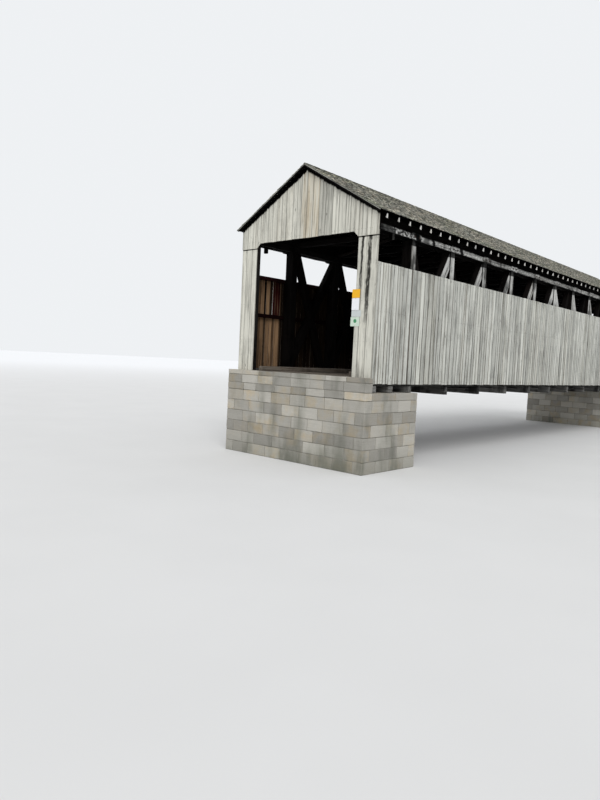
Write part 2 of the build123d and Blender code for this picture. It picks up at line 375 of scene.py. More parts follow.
def mark_grain(bm, axis, flat, tone, openness, warmth):
    """Gives a board its maps: "grain" is in metres along and across the wood, "edge" runs from -1
    to 1 across its faces and from 0 to 1 along them, and "tone" holds its colours."""
    bm.normal_update()
    bmesh.ops.recalc_face_normals(bm, faces=bm.faces)
    # Recalculating can leave a leaning timber inside out
    if bm.calc_volume(signed=True) < 0:
        bmesh.ops.reverse_faces(bm, faces=bm.faces)
    bm.normal_update()
    grain, edge = bm.loops.layers.uv["grain"], bm.loops.layers.uv["edge"]
    tones = bm.loops.layers.float_color["tone"]
    basis = [axis, flat, axis.cross(flat)]
    reach = [(low, high - low) for low, high in (span(bm, way) for way in basis)]
    start = random_start(lumber)
    for face in bm.faces:
        facing = [abs(face.normal.dot(way)) for way in basis]
        side = 2 if facing[1] >= facing[2] else 1
        along = 0 if facing[0] < 0.8 else 3 - side
        for loop in face.loops:
            co = loop.vert.co
            u, v = co.dot(basis[side]), co.dot(basis[along])
            loop[grain].uv = (u + start[0], v * (1 if along == 0 else 6) + start[1])
            loop[edge].uv = ((u - reach[side][0]) / reach[side][1] * 2 - 1,
                             (v - reach[along][0]) / reach[along][1])
            bare = openness(co, face.normal) if callable(openness) else openness
            loop[tones] = (tone, bare, warmth, 1)


def cut_off(bm, point, outward):
    """Saws off what lies beyond a plane and closes the cut."""
    cut = bmesh.ops.bisect_plane(bm, geom=bm.verts[:] + bm.edges[:] + bm.faces[:],
                                 plane_co=point, plane_no=outward, clear_outer=True)
    loop = [part for part in cut["geom_cut"] if isinstance(part, bmesh.types.BMEdge)]
    if loop:
        bmesh.ops.edgeloop_fill(bm, edges=loop)


def islands(node):
    """The separate solids of a CAD node, each as a clean mesh of its own."""
    source = blank()
    source.from_mesh(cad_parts[node].data)
    bmesh.ops.remove_doubles(source, verts=source.verts, dist=1e-5)
    bmesh.ops.dissolve_limit(source, angle_limit=math.radians(1), verts=source.verts[:],
                             edges=source.edges[:])
    source.faces.ensure_lookup_table()
    left = set(range(len(source.faces)))
    while left:
        reached, fresh = set(), {min(left)}
        while fresh:
            reached |= fresh
            fresh = {other.index for i in fresh for edge in source.faces[i].edges
                     for other in edge.link_faces} - reached
        left -= reached
        solid = source.copy()
        others = [face for face in solid.faces if face.index not in reached]
        bmesh.ops.delete(solid, geom=others, context="FACES")
        yield solid
    source.free()


def long_axis(bm):
    edge = max(bm.edges, key=lambda candidate: candidate.calc_length())
    return (edge.verts[1].co - edge.verts[0].co).normalized()


def dress(whole, solid, openness, arris=0.009, rough=0.004, step=0.7):
    """Finishes one timber: arrises eased, faces a little out of true, grain along its length."""
    axis = long_axis(solid)
    flat = max((face for face in solid.faces if abs(face.normal.dot(axis)) < 0.1),
               key=lambda face: face.calc_area()).normal.copy()
    flat = (flat - axis * flat.dot(axis)).normalized()
    ease(solid, solid.edges[:], arris)
    low, high = span(solid, axis)
    count = int((high - low) / step)
    for i in range(1, count):
        place = axis * (low + (high - low) * i / count)
        bmesh.ops.bisect_plane(solid, geom=solid.verts[:] + solid.edges[:] + solid.faces[:],
                               plane_co=place, plane_no=axis)
    roughen(solid, (1.7, rough), (7, rough / 2))
    mark_grain(solid, axis, flat, lumber.random(), openness, lumber.random() ** 2)
    add_to(whole, solid)


butt_gap = 0.004


def in_lengths(solid, longest):
    """Saws a long timber into lengths of up to that, with a hair of a gap at each butt."""
    axis = long_axis(solid)
    low, high = span(solid, axis)
    count = math.ceil((high - low) / longest)
    for i in range(count):
        part = solid.copy()
        if i:
            cut_off(part, axis * (low + (high - low) * i / count + butt_gap / 2), -axis)
        if i < count - 1:
            cut_off(part, axis * (low + (high - low) * (i + 1) / count - butt_gap / 2), axis)
        yield part
    solid.free()


chord_z = sum(corner.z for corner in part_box("upper_chord_right")) / 2
outer_ply_y, first_butt_x, sound_x = 2.61, -12, -11.4
# The middle, half the width and the strength of each black patch on the right chord. The first is
# painted shade by the near portal.
stains_and_shade = ((-13.5, 0.32, 0.75), (-11.8, 0.13, 0.95), (-10.78, 0.07, 0.9), (-8.9, 0.09, 0.9))


def chord_blotches_and_shade(place, bands, openness):
    """The upper chords are blotched outside and black along their top and bottom edges. The right
    one is darkened with painted shade by the near portal, and black at its first block and beside
    the second."""
    x, y, z = place.parts()
    outside = abs(y).rises(outer_ply_y - 0.01, outer_ply_y + 0.01)
    outside = outside * z.rises(chord_z - 0.28, chord_z - 0.26)
    blotch_noise = place.noise((9, 1, 16), 4, 0.65)
    first_length = 1 - x.rises(first_butt_x - 0.1, first_butt_x + 0.1)
    sound = 1 - abs(x - sound_x).rises(0.3, 0.4)
    # The first length, by the near portal, is blotched more: partly painted shade
    blotch = blotch_noise.rises(0.44, 0.54) * (0.42 + first_length * 0.5 - sound * 0.35)
    edges = (abs(z - chord_z) + place.noise((6, 1, 6)) * 0.11).rises(0.12, 0.145) * 0.9
    ragged = x + bands * 0.16 + (z - chord_z) * 0.5
    dark = 0
    for middle, half, strength in stains_and_shade:
        dark = (1 - abs(ragged - middle).rises(half, half + 0.05)) * strength + dark
    dark = dark * (1 - y.rises(-outer_ply_y, outer_ply_y))
    return edges.larger(blotch).larger(dark.rises(0, 1)) * outside


# The sheltered colour is near black: painted shade of the dark inside of the bridge, on every
# timber that takes it
truss_wood = weathered_wood("truss_timber", (0.0065, 0.0055, 0.005), (0.47, 0.47, 0.45),
                            (0.24, 0.22, 0.19), (0.009, 0.006, 0.005), lines=1.0, blotches=0.75,
                            joints=0.25, marks=chord_blotches_and_shade)


def dressed(name, node, openness, material=truss_wood, slot="timber_frame", longest=8, **finish):
    """The piece for a CAD node of timbers, each dressed."""
    whole = blank()
    for solid in islands(node):
        for part in in_lengths(solid, longest):
            dress(whole, part, openness, **finish)
    stand_in(name, whole, (material,), slot, node)


side_signs = {"left": 1, "right": -1}
dressed("bed_timbers_sawn", "bed_timbers", 0.35, arris=0.012)
for side in side_signs:
    dressed(f"lower_chord_{side}_timbers", f"lower_chord_{side}", 0.15, arris=0.012)

# Trusses
# Posts between the two plies of each chord, braced by heavy timbers that rise towards the middle
# of the span and by lighter, steeper ones halved over them. All are notched and spiked.


def share(value, start, width):
    """0 up to a start, 1 from a width beyond it, and even between them."""
    return min(max((value - start) / width, 0), 1)


bare_z = 5.9


def truss_openness(co, normal):
    """The trusses are bare where they face out over the side boarding, under the eave. Elsewhere
    they take the near-black sheltered colour, which is painted shade.
    """
    outward = normal.y if co.y > 0 else -normal.y
    under_eave = share(co.z, bare_z, 0.3)
    return under_eave * share(abs(co.y), outer_ply_y, 0.06) * share(outward, 0.3, 0.4)


for side in side_signs:
    for kind in ("truss_posts", "main_braces", "counter_braces"):
        dressed(f"{kind}_{side}_timbers", f"{kind}_{side}", truss_openness, rough=0.006)
    dressed(f"upper_chord_{side}_timbers", f"upper_chord_{side}", truss_openness, arris=0.014,
            rough=0.018, step=0.3)

# Chord blocks
# An oak block over the outer ply at each post, drawn tight by two iron bolts with washers. A short
# block hangs under that ply near each portal.


def iron():
    made, shade = new_material("rusted_iron")
    scale = shade.place().noise(60, 4, 0.7)
    colour = scale.rises(0.42, 0.66).mixed((0.018, 0.015, 0.014), (0.07, 0.036, 0.022))
    shade.surface(colour, 0.65 + scale * 0.3, scale, 0.0015)
    return made


rusted_iron = iron()


def corners(bm):
    """The lowest and the highest corner of a mesh's box."""
    return [Vector(ends) for ends in zip(*(span(bm, way) for way in Matrix.Identity(3)))]


def stud(whole, place, outward, radius, proud, sides=6, material=0):
    """The head of a nail or bolt: a low cone, half of it sunk, with its narrow end outward."""
    turn = Vector((0, 0, 1)).rotation_difference(outward).to_matrix().to_4x4()
    made = bmesh.ops.create_cone(whole, cap_ends=True, segments=sides, radius1=radius,
                                 radius2=radius * 0.72, depth=proud * 2,
                                 matrix=Matrix.Translation(place) @ turn)
    for face in {face for vert in made["verts"] for face in vert.link_faces}:
        face.material_index = material


blocks, bolts = blank(), blank()
bolt_places = (-0.12, 0.15)
washer_radius, washer_proud, nut_radius, nut_proud = 0.042, 0.008, 0.022, 0.020
for solid in islands("chord_blocks"):
    low, high = corners(solid)
    middle = (low + high) / 2
    outward = Vector((0, math.copysign(1, middle.y), 0))
    face_y = high.y if middle.y > 0 else low.y
    bolted = high.x - low.x > 0.5
    for offset in bolt_places if bolted else ():
        head = Vector((middle.x + offset, face_y, middle.z))
        stud(bolts, head, outward, washer_radius, washer_proud, sides=12)
        stud(bolts, head + outward * washer_proud, outward, nut_radius, nut_proud)
    dress(blocks, solid, truss_openness, arris=0.01, rough=0.003)
stand_in("chord_blocks_oak", blocks, (truss_wood,), "timber_frame", "chord_blocks")
stand_in("chord_bolts", bolts, (rusted_iron,), "timber_frame")

# Floor
# Beams hung under the chords and flat braces between them, stringers over the beams, and planks
# laid crosswise with two spikes at each stringer. A wheel guard runs along each side.

dressed("floor_beams_sawn", "floor_beams", 0.25, arris=0.012)
dressed("floor_braces", "lower_lateral_braces", 0.25)
dressed("floor_stringers_sawn", "floor_stringers", 0.1, longest=5.5)


def lengthwise(bm):
    return [edge for edge in bm.edges if abs(edge.verts[0].co.x - edge.verts[1].co.x) > 1e-6]


def plank(size, place, cuts=3, arris=0.003, bow=0.003):
    """A sawn board lying along X: size is its length, width and thickness. It is eased along its
    edges, bent a little, and then put in its place."""
    bm = squared(size)
    ease(bm, lengthwise(bm), arris)
    bmesh.ops.subdivide_edges(bm, edges=lengthwise(bm), cuts=cuts)
    crown, twist = lumber.uniform(-1, 1) * bow, lumber.uniform(-1, 1) * bow
    for vert in bm.verts:
        along, across = vert.co.x / size[0], vert.co.y / size[1]
        twisted = abs(twist) * (0.5 + along * across * 2)
        vert.co.z -= abs(crown) * (1 - 4 * along * along) / 2 + twisted
        vert.co.y += crown * along * along * 2
    bm.transform(place)
    return bm


def finish_plank(whole, bm, place, openness, tone=None, warmth=None):
    """Marks a board's grain and colours, random where none are given, and adds it to its piece."""
    axis, flat = place.col[0].to_3d().normalized(), place.col[2].to_3d().normalized()
    mark_grain(bm, axis, flat, lumber.random() if tone is None else tone, openness,
               lumber.random() ** 3 if warmth is None else warmth)
    add_to(whole, bm)


def laid(origin, length_way, thickness_way):
    """The matrix that puts a plank's middle at a place, its length and thickness the given ways."""
    length_way, thickness_way = Vector(length_way), Vector(thickness_way)
    width_way = thickness_way.cross(length_way)
    return Matrix.Translation(origin) @ Matrix((length_way, width_way,
                                                thickness_way)).transposed().to_4x4()


floor_wood = weathered_wood("floor_plank", (0.15, 0.125, 0.10), (0.24, 0.22, 0.19),
                            (0.17, 0.11, 0.06), (0.10, 0.07, 0.05), blotches=0.25, joints=0.4)
wheel_y, track_reach = 0.85, 0.4


def floor_openness(co, normal):
    """The planks are worn pale along the wheel tracks."""
    track = max(1 - abs(abs(co.y) - wheel_y) / track_reach, 0)
    return (0.25 + 0.75 * track) if normal.z > 0.5 else 0.05


def rows(node, axis):
    """Where the timbers of a CAD node lie along one axis, one place for each row."""
    middles = [sum(corner[axis] for corner in corners(solid)) / 2 for solid in islands(node)]
    return sorted({round(middle, 3) for middle in middles})


low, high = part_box("floor_deck")
planks, spikes = blank(), blank()
plank_width, spike_offset, spike_radius, spike_proud = 0.232, 0.06, 0.009, 0.002
count = round((high.x - low.x) / plank_width)
step = (high.x - low.x) / count
thickness = high.z - low.z
for i in range(count):
    centre = Vector((low.x + (i + 0.5) * step, 0, (low.z + high.z) / 2))
    place = laid(centre, (0, 1, 0), (0, 0, 1))
    length = high.y - low.y - lumber.uniform(0, 0.03)
    size = (length, step - lumber.uniform(0.003, 0.012), thickness)
    board = plank(size, place, cuts=7, arris=0.006, bow=0.002)
    finish_plank(planks, board, place, floor_openness)
for y in rows("floor_stringers", 1):
    row = blank()
    for i in range(count):
        for offset in (-spike_offset, spike_offset):
            x = low.x + (i + 0.5) * step + offset
            spot = Vector((x, y + lumber.uniform(-0.02, 0.02), high.z))
            stud(row, spot, Vector((0, 0, 1)), spike_radius, spike_proud)
    add_to(spikes, row)
stand_in("floor_planks", planks, (floor_wood,), "floor_plank", "floor_deck")
stand_in("floor_spikes", spikes, (rusted_iron,), "floor_plank")
dressed("wheel_guards_sawn", "wheel_guards", 0.4, floor_wood, "floor_plank", longest=4.7,
        arris=0.014)

# Ties and plates
# Tie beams lie over both chords and hold the trusses apart, with flat braces between them. The
# plates on their ends carry the rafters.

dressed("tie_beams_sawn", "tie_beams", 0, arris=0.012)
dressed("tie_braces", "upper_lateral_braces", 0)
dressed("wall_plates_sawn", "wall_plates", 0, longest=4.8)

# Portal frames and girts
# Corner posts, studs and a header frame each portal, and three girts on each side, stained dark
# red, take the nails of the boarding.

girt_wood = weathered_wood("girt_timber", (0.020, 0.005, 0.005), (0.10, 0.05, 0.04),
                           (0.05, 0.02, 0.015), (0.012, 0.005, 0.005), joints=0.2)
dressed("portal_posts_sawn", "portal_posts", 0.02)
dressed("portal_headers_sawn", "portal_headers", 0)
for side in side_signs:
    dressed(f"girts_{side}", f"siding_girts_{side}", 0, girt_wood, longest=4.8)

# Rafters and laths
# Sawn rafters meet in pairs at the ridge, and their plumb-cut tails stand out past the boarding.
# Laths in random lengths are nailed across them with gaps between, to take the shingles.

rake_x, eave_run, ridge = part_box("roof_shingles_left")[1]
rafter_ends, tail_run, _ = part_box("rafters_left")[1]
rise_over_run = 7 / 12
pitch = math.atan(rise_over_run)
shingle_layer, lath_thickness, rafter_depth = 0.04, 0.025, 0.14
rafter_under = (shingle_layer + lath_thickness + rafter_depth) / math.cos(pitch)


def tail_openness(co, normal):
    """Only the plumb cuts and the sides of each tail see the weather. All else on the rafters
    takes the near-black sheltered colour, which is painted shade.
    """
    return 1.0 if abs(co.y) > tail_run - 0.04 and normal.z > -0.6 else 0.0


def tail_painted_shadow(place, bands, openness):
    """A tail is pale on its plumb cut and at its lower corner, and painted black behind and above
    that, as the shadow of the shingles and the eave.
    """
    _, y, z = place.parts()
    above = z - (ridge - rafter_under) + abs(y) * rise_over_run
    behind = tail_run - abs(y) - 0.042 + above * 0.32 + bands * 0.02
    # Painted shadow behind and above the pale end
    black = behind.rises(0, 0.025) + above.rises(0.10, 0.19)
    return black.rises(0, 1)


# The sheltered colour is near black: painted shade under the roof, on the rafters and laths
roof_wood = weathered_wood("roof_timber", (0.003, 0.0025, 0.002), (0.66, 0.65, 0.62),
                           (0.60, 0.56, 0.48), (0.012, 0.009, 0.007), lines=0.3, blotches=0.1,
                           joints=0.2, marks=tail_painted_shadow)
for side in side_signs:
    dressed(f"rafters_{side}_sawn", f"rafters_{side}", tail_openness, roof_wood, "roof_timber",
            arris=0.004, rough=0.002)


def on_slope(side):
    """The matrix from a slope's own axes, along the ridge, down the slope and out of the roof, to
    the frame."""
    sign = side_signs[side]
    return laid((0, 0, ridge), (sign, 0, 0), (0, sign * math.sin(pitch), math.cos(pitch)))


rafter_thickness, rafter_spaces = 0.05, 46
rafter_step = 2 * (rafter_ends - rafter_thickness / 2) / rafter_spaces
lath_width, lath_rows, shortest_lath, lath_gap = 0.12, 17, 1.5, 0.006
first_lath, last_lath = 0.09, 2.965
lath_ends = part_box("roof_laths_left")[1].x
for side in side_signs:
    laths = blank()
    for row in range(lath_rows):
        down = (first_lath + (last_lath - first_lath) * row / (lath_rows - 1)) / math.cos(pitch)
        start = -lath_ends
        while start < lath_ends:
            stop = start + rafter_step * lumber.choice((5, 6, 7, 8))
            stop = lath_ends if stop > lath_ends - shortest_lath else stop
            centre = Vector(((start + stop) / 2, down, -shingle_layer - lath_thickness / 2))
            place = on_slope(side) @ Matrix.Translation(centre)
            size = (stop - start - lath_gap, lath_width - lumber.uniform(0, 0.012), lath_thickness)
            finish_plank(laths, plank(size, place, cuts=3, arris=0.002, bow=0.002), place, 0)
            start = stop
    stand_in(f"laths_{side}", laths, (roof_wood,), "roof_timber", f"roof_laths_{side}")

# Shingles
# Split wooden shingles, thick at the butt and thin at the head, lapped three deep up each slope
# and nailed to the laths. No two are as wide, and their butts are ragged and weathered.


def shingle_wood():
    made, shade = new_material("weathered_shingle")
    tone, openness, warmth = block_tones(shade)
    grain, place = shade.own_map("grain"), shade.place()
    down = shade.own_map("edge").parts()[1]
    fibre = grain.noise((120, 3, 1), 4, 0.7)
    split = grain.noise((40, 1.2, 1))
    moss = place.noise(1.1, 5, 0.65)
    spots = place.noise(14, 4, 0.65).rises(0.36, 0.64)
    colour = (warmth * 0.7).mixed((0.45, 0.455, 0.40), (0.24, 0.19, 0.14))
    colour = (moss.rises(0.48, 0.7) * 0.5).mixed(colour, (0.20, 0.23, 0.14))
    # Undersides take a near-black colour, painted shade
    colour = openness.mixed((0.004, 0.0035, 0.003), colour)
    light = (0.42 + tone * 0.85) * (0.6 + fibre * 0.8) * (1 - split.rises(0.55, 0.68) * 0.5)
    light = light * (0.55 + spots * 0.78) * (1 + down.rises(0.985, 1.0) * (warmth * 2.2 - 0.75))
    shade.surface(colour.times(light), 0.85 + fibre * 0.12, fibre * 2 - split, 0.004)
    return made


shingle_material = shingle_wood()
slope_length = eave_run / math.cos(pitch)
exposure, shingle_length, head_thickness, butt_thickness = 0.14, 0.40, 0.004, 0.013
lift = math.asin((shingle_layer - butt_thickness) / shingle_length)
roofer = random.Random(23)


def shingle(course, left, right, butt, length, base, butt_high, ridge_gap):
    """One shingle of a course, as a wedge between two places along the ridge. Its head is sawn off
    where it would pass the ridge."""
    head = max(butt - length, ridge_gap)
    verts = bmesh.ops.create_cube(course, size=1)["verts"]
    tone, warmth = roofer.random(), roofer.random() ** 2
    slant = roofer.uniform(-0.012, 0.012)
    curl = [roofer.uniform(0, 0.006) for _ in range(2)]
    for vert in verts:
        at_butt, on_top, at_right = vert.co.y > 0, vert.co.z > 0, vert.co.x > 0
        down = (butt + (slant if at_right else -slant)) if at_butt else head
        along = down - (butt - length)
        rise = base + along * math.sin(lift)
        thickness = head_thickness + (butt_high - head_thickness) * (along / length)
        curled = curl[at_right] if at_butt else 0
        vert.co = Vector((right if at_right else left, down, rise + curled + thickness * on_top))
    grain, edge = course.loops.layers.uv["grain"], course.loops.layers.uv["edge"]
    tones = course.loops.layers.float_color["tone"]
    start = random_start(roofer)
    for face in {face for vert in verts for face in vert.link_faces}:
        face.normal_update()
        # Faces turned down get the near-black painted shade
        bare = 1 if face.normal.z > -0.5 else 0
        for loop in face.loops:
            co = loop.vert.co
            loop[grain].uv = (co.x + co.z + start[0], co.y + start[1])
            loop[edge].uv = ((co.x - left) / (right - left), (co.y - head) / (butt - head))
            loop[tones] = (tone, bare, warmth, 1)


def shingle_row(whole, side, butt, length, base, butt_high, ridge_gap=0.004):
    """A course from rake to rake, of shingles in random widths."""
    course = blank()
    across = -rake_x + roofer.uniform(0, 0.02)
    while across < rake_x - 0.02:
        width = roofer.triangular(0.08, 0.22, 0.13)
        right = min(across + width, rake_x - roofer.uniform(0, 0.012))
        if rake_x - right < 0.06:
            right = rake_x - roofer.uniform(0, 0.012)
        ragged = butt + roofer.gauss(0, 0.007)
        shingle(course, across, right, min(ragged, slope_length), length, base, butt_high,
                ridge_gap)
        across = right + roofer.uniform(0.002, 0.006)
    course.transform(on_slope(side))
    add_to(whole, course)


courses = math.ceil(slope_length / exposure)
# The right slope's top course laps over the left one's
comb = {"left": 0.004, "right": -0.012}
for side in side_signs:
    shingles = blank()
    shingle_row(shingles, side, slope_length - 0.006, length=0.28, base=-shingle_layer,
                butt_high=0.009)
    for i in range(courses - 1):
        shingle_row(shingles, side, slope_length - i * exposure, shingle_length, -shingle_layer,
                    butt_thickness)
    shingle_row(shingles, side, slope_length - (courses - 1) * exposure, length=0.14, base=-0.014,
                butt_high=0.012, ridge_gap=comb[side])
    stand_in(f"shingles_{side}", shingles, (shingle_material,), "roof_shingle",
             f"roof_shingles_{side}")

# Rake boards
# Two narrow boards under the shingles close the ends of the laths along each rake. The upper one
# has weathered as pale as the shingles, and the lower one is set back and near black, painted as
# the shadow under the shingles.

rake_wood = weathered_wood("rake_board", (0.006, 0.005, 0.005), (0.34, 0.34, 0.30),
                           (0.20, 0.18, 0.14), (0.012, 0.01, 0.008), lines=0.8, blotches=0.6,
                           joints=0.2)
board_thickness = 0.025
rake_end, ridge_clear = tail_run / math.cos(pitch), 0.04
# The top, the bottom, how far it is set back and the openness of each strip. An openness of 0 gives
# the lower strip the near-black sheltered colour, painted shadow.
rake_strips = ((0.040, 0.058, 0.0, 1.0), (0.058, 0.100, 0.006, 0.0))
end_signs = {"near": -1, "far": 1}
for end, sign in end_signs.items():
    rakes = blank()
    for side in side_signs:
        for top, bottom, set_back, bare in rake_strips:
            way = side_signs[side] * sign
            centre = Vector((way * (rake_x - set_back - board_thickness / 2),
                             rake_end / 2 + ridge_clear / 2, -(top + bottom) / 2))
            place = on_slope(side) @ laid(centre, (0, 1, 0), (way, 0, 0))
            size = (rake_end - ridge_clear, bottom - top, board_thickness)
            board = plank(size, place, cuts=5, arris=0.002, bow=0.002)
            finish_plank(rakes, board, place, bare, tone=0.5, warmth=0)
    stand_in(f"rakes_{end}", rakes, (rake_wood,), "roof_timber", f"rake_boards_{end}")

# Gables and jambs
# Upright boards of uneven width, grey with weather. The gable's hang over the tops of the jambs'
# with a drip edge, follow the rakes above, and leave an opening with clipped top corners.

jamb_width = 0.734
jamb_face_x, outer_y, jamb_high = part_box("jamb_boards_far")[1]
jamb_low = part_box("jamb_boards_far")[0].z
jamb_inner = outer_y - jamb_width
drip_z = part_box("gable_near")[0].z
# Where each run of water lies, its width, how far down it reaches and its strength
water_runs = ((-2.34, 0.065, 5.5, 0.8), (-2.61, 0.11, 4.6, 0.8), (2.70, 0.05, 6.8, 0.5))


def portal_stains_and_shadow(place, bands, openness):
    """Dark runs of water down the near jambs from the drip edges, painted shadow under those edges,
    and a dark band beneath the rakes that is partly damp and partly painted shade."""
    x, y, z = place.parts()
    near = 1 - x.rises(0.05 - jamb_face_x, 0.1 - jamb_face_x)
    wander = place.noise((2, 2, 3.5)) * 0.12 - 0.06
    dark = 0
    broken = 0.55 + place.noise((9, 9, 4)).rises(0.36, 0.5) * 0.45
    for at, width, bottom, strength in water_runs:
        line = 1 - abs(y - at + wander - (drip_z - z) * 0.02).rises(width * 0.3, width)
        drop = z.rises(bottom - 0.9, bottom + 0.6) * (1 - z.rises(drip_z, drip_z + 0.01))
        dark = line * drop * broken * strength + dark
    behind_gable = 1 - abs(x).rises(jamb_face_x + 0.004, jamb_face_x + 0.01)
    # Painted shadow under the drip edges
    drip_edge_shadow = (1 - abs(z - drip_z + 0.015).rises(0.012, 0.022)) * behind_gable
    below_roof = ridge - z - abs(y) * rise_over_run
    reach = 0.15 - abs(y) * 0.012 + bands * 0.15
    # A dark band beneath the rakes, partly damp and partly painted shade
    rake_shade_and_damp = 1 - (below_roof - reach).rises(-0.02, 0.05)
    return (dark * near + drip_edge_shadow * 0.8 + rake_shade_and_damp).rises(0, 1.0)


board_wood = weathered_wood("portal_board", (0.085, 0.062, 0.045), (0.60, 0.59, 0.52),
                            (0.62, 0.50, 0.33), lines=0.5, blotches=0.16, joints=0.4,
                            marks=portal_stains_and_shadow)


def outer_openness(axis):
    """Wall boards are bare on their outer face, and brown on the inner one."""
    def openness(co, normal):
        outward = normal[axis] * math.copysign(1, co[axis])
        return 1.0 if outward > 0.3 else 0.0 if outward < -0.3 else 0.55
    return openness


nail_radius, nail_proud = 0.007, 0.0025


def nail_heads(name, places, outward, slot):
    """The piece for the nails of a wall, one head at each place."""
    nails = blank()
    for place in places:
        stud(nails, place, outward, nail_radius, nail_proud)
    stand_in(name, nails, (rusted_iron,), slot)


opening_top = 7.143
clip_y = jamb_inner - (opening_top - drip_z)
gable_joints = (outer_y, 2.62, 2.36, jamb_inner, clip_y, 1.83, 1.63, 1.45, 1.25, 1.03, 0.84, 0.54,
                0.36, 0.19, -0.04, -0.31, -0.58, -0.70, -0.83, -1.12, -1.38, -1.66, -1.84, -clip_y,
                -jamb_inner, -2.3, -2.46, -2.61, -outer_y)


def gable_top(y):
    """The height of the gable boards' tops, close under the laths."""
    return ridge - abs(y) * rise_over_run - (shingle_layer + lath_thickness) / math.cos(pitch)


def gable_tone(y):
    """The boards right of the middle are a little warm, and the ones beside them cool and dark."""
    if -0.58 < y < 0.19:
        return lumber.uniform(0.3, 0.6), lumber.uniform(0.55, 0.9)
    if -1.12 < y < -0.58:
        return lumber.uniform(0.0, 0.25), 0.0
    return lumber.uniform(0.35, 0.9), lumber.uniform(0, 0.15)


for end, sign in end_signs.items():
    boards, spots = blank(), []
    outward = Vector((sign, 0, 0))
    face_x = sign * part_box("gable_far")[1].x
    for left, right in zip(gable_joints, gable_joints[1:]):
        left, right = (left, right) if end == "near" else (-right, -left)
        gap = lumber.uniform(0.003, 0.009)
        width, middle = left - right, (left + right) / 2
        inside = abs(middle) < clip_y
        slanting = clip_y < abs(middle) < jamb_inner
        bottom = (opening_top if inside else drip_z) + lumber.uniform(0, 0.012)
        top = max(gable_top(left), gable_top(right)) + 0.02
        centre = Vector((face_x - sign * board_thickness / 2, middle, (bottom + top) / 2))
        place = laid(centre, (0, 0, 1), outward)
        board = plank((top - bottom, width - gap, board_thickness), place, cuts=4)
        for way in (-1, 1):
            cut_off(board, Vector((0, 0, gable_top(0))),
                    Vector((0, way * math.sin(pitch), math.cos(pitch))))
        if slanting:
            way = math.copysign(1, middle)
            cut_off(board, Vector((0, way * jamb_inner, drip_z)),
                    Vector((0, -way, -1)).normalized())
        tone, warmth = gable_tone(middle if end == "near" else -middle)
        finish_plank(boards, board, place, outer_openness(0), tone, warmth)
        header_z, below_rake = (7.24, 0.16) if inside else (7.2, 0.12)
        heights = (header_z, gable_top(middle) - below_rake)
        spots += [Vector((face_x, middle + offset * width, z + lumber.uniform(-0.01, 0.01)))
                  for z in heights for offset in (-0.28, 0.28) if z < gable_top(middle) - 0.08]
    stand_in(f"gable_{end}_boards", boards, (board_wood,), "gable_boards", f"gable_{end}")
    nail_heads(f"gable_{end}_nails", spots, outward, "gable_boards")

jamb_nail_z = (2.75, 3.9, 5.1, 6.25, 6.9)
jamb_joints = {1: (jamb_inner, 2.41, 2.68, outer_y), -1: (jamb_inner, 2.34, 2.61, outer_y)}
for end, sign in end_signs.items():
    boards, spots = blank(), []
    outward = Vector((sign, 0, 0))
    face_x = sign * jamb_face_x
    for way, joints in jamb_joints.items():
        for inner, outer in zip(joints, joints[1:]):
            centre = Vector((face_x - sign * board_thickness / 2, way * (inner + outer) / 2,
                             (jamb_low + jamb_high) / 2))
            place = laid(centre, (0, 0, 1), outward)
            width = outer - inner
            size = (jamb_high - jamb_low, width - lumber.uniform(0.004, 0.009), board_thickness)
            tone = lumber.uniform(0.6, 1) if way == 1 else lumber.uniform(0.45, 0.8)
            board = plank(size, place, cuts=6, bow=0.002)
            finish_plank(boards, board, place, outer_openness(0), tone, lumber.uniform(0, 0.1))
            spots += [Vector((face_x, way * (inner + width * part), z))
                      for z in jamb_nail_z for part in (0.2, 0.8)]
    stand_in(f"jamb_{end}_boards", boards, (board_wood,), "gable_boards", f"jamb_boards_{end}")
    nail_heads(f"jamb_{end}_nails", spots, outward, "gable_boards")

# Side boarding
# Upright boards nailed to the girts, with gaps that have opened as they dried. They stop under the
# eave, so that a strip above them lies open all along the bridge. Some of the left side's, near the
# portal, are in two lengths that meet on the middle girt.


def side_painted_shade(place, bands, openness):
    """Inside, the boards are darkened with painted shade away from the portals and under the eave.
    """
    x, _, z = place.parts()
    deep = 1 - abs(x).rises(12.1, 12.2)
    under_eave = z.rises(5.4, 6.1) * 0.45
    return (deep * 0.93).larger(under_eave) * (1 - openness.rises(0.1, 0.5))


side_wood = weathered_wood("side_board", (0.31, 0.19, 0.105), (0.54, 0.545, 0.50),
                           (0.42, 0.39, 0.30), (0.085, 0.013, 0.013), lines=0.75, blotches=0.16,
                           joints=0.75, marks=side_painted_shade)
girt_z = rows("siding_girts_left", 2)
near_joints = {"left": (-13.9, -13.71, -13.52, -13.34, -13.17, -12.97, -12.89, -12.69, -12.54,
                        -12.43, -12.17),
               "right": (-13.91, -13.78, -13.52, -13.37, -13.23, -13.0, -12.87, -12.7, -12.46,
                         -12.18, -11.94, -11.7, -11.44, -11.2, -10.89, -10.66)}
widest_last = 0.38
wide_gaps = {"left": (-12.54, 0.022), "right": (-12.18, 0.05)}
board_gaps = {"left": (0.002, 0.006), "right": (0.006, 0.02)}
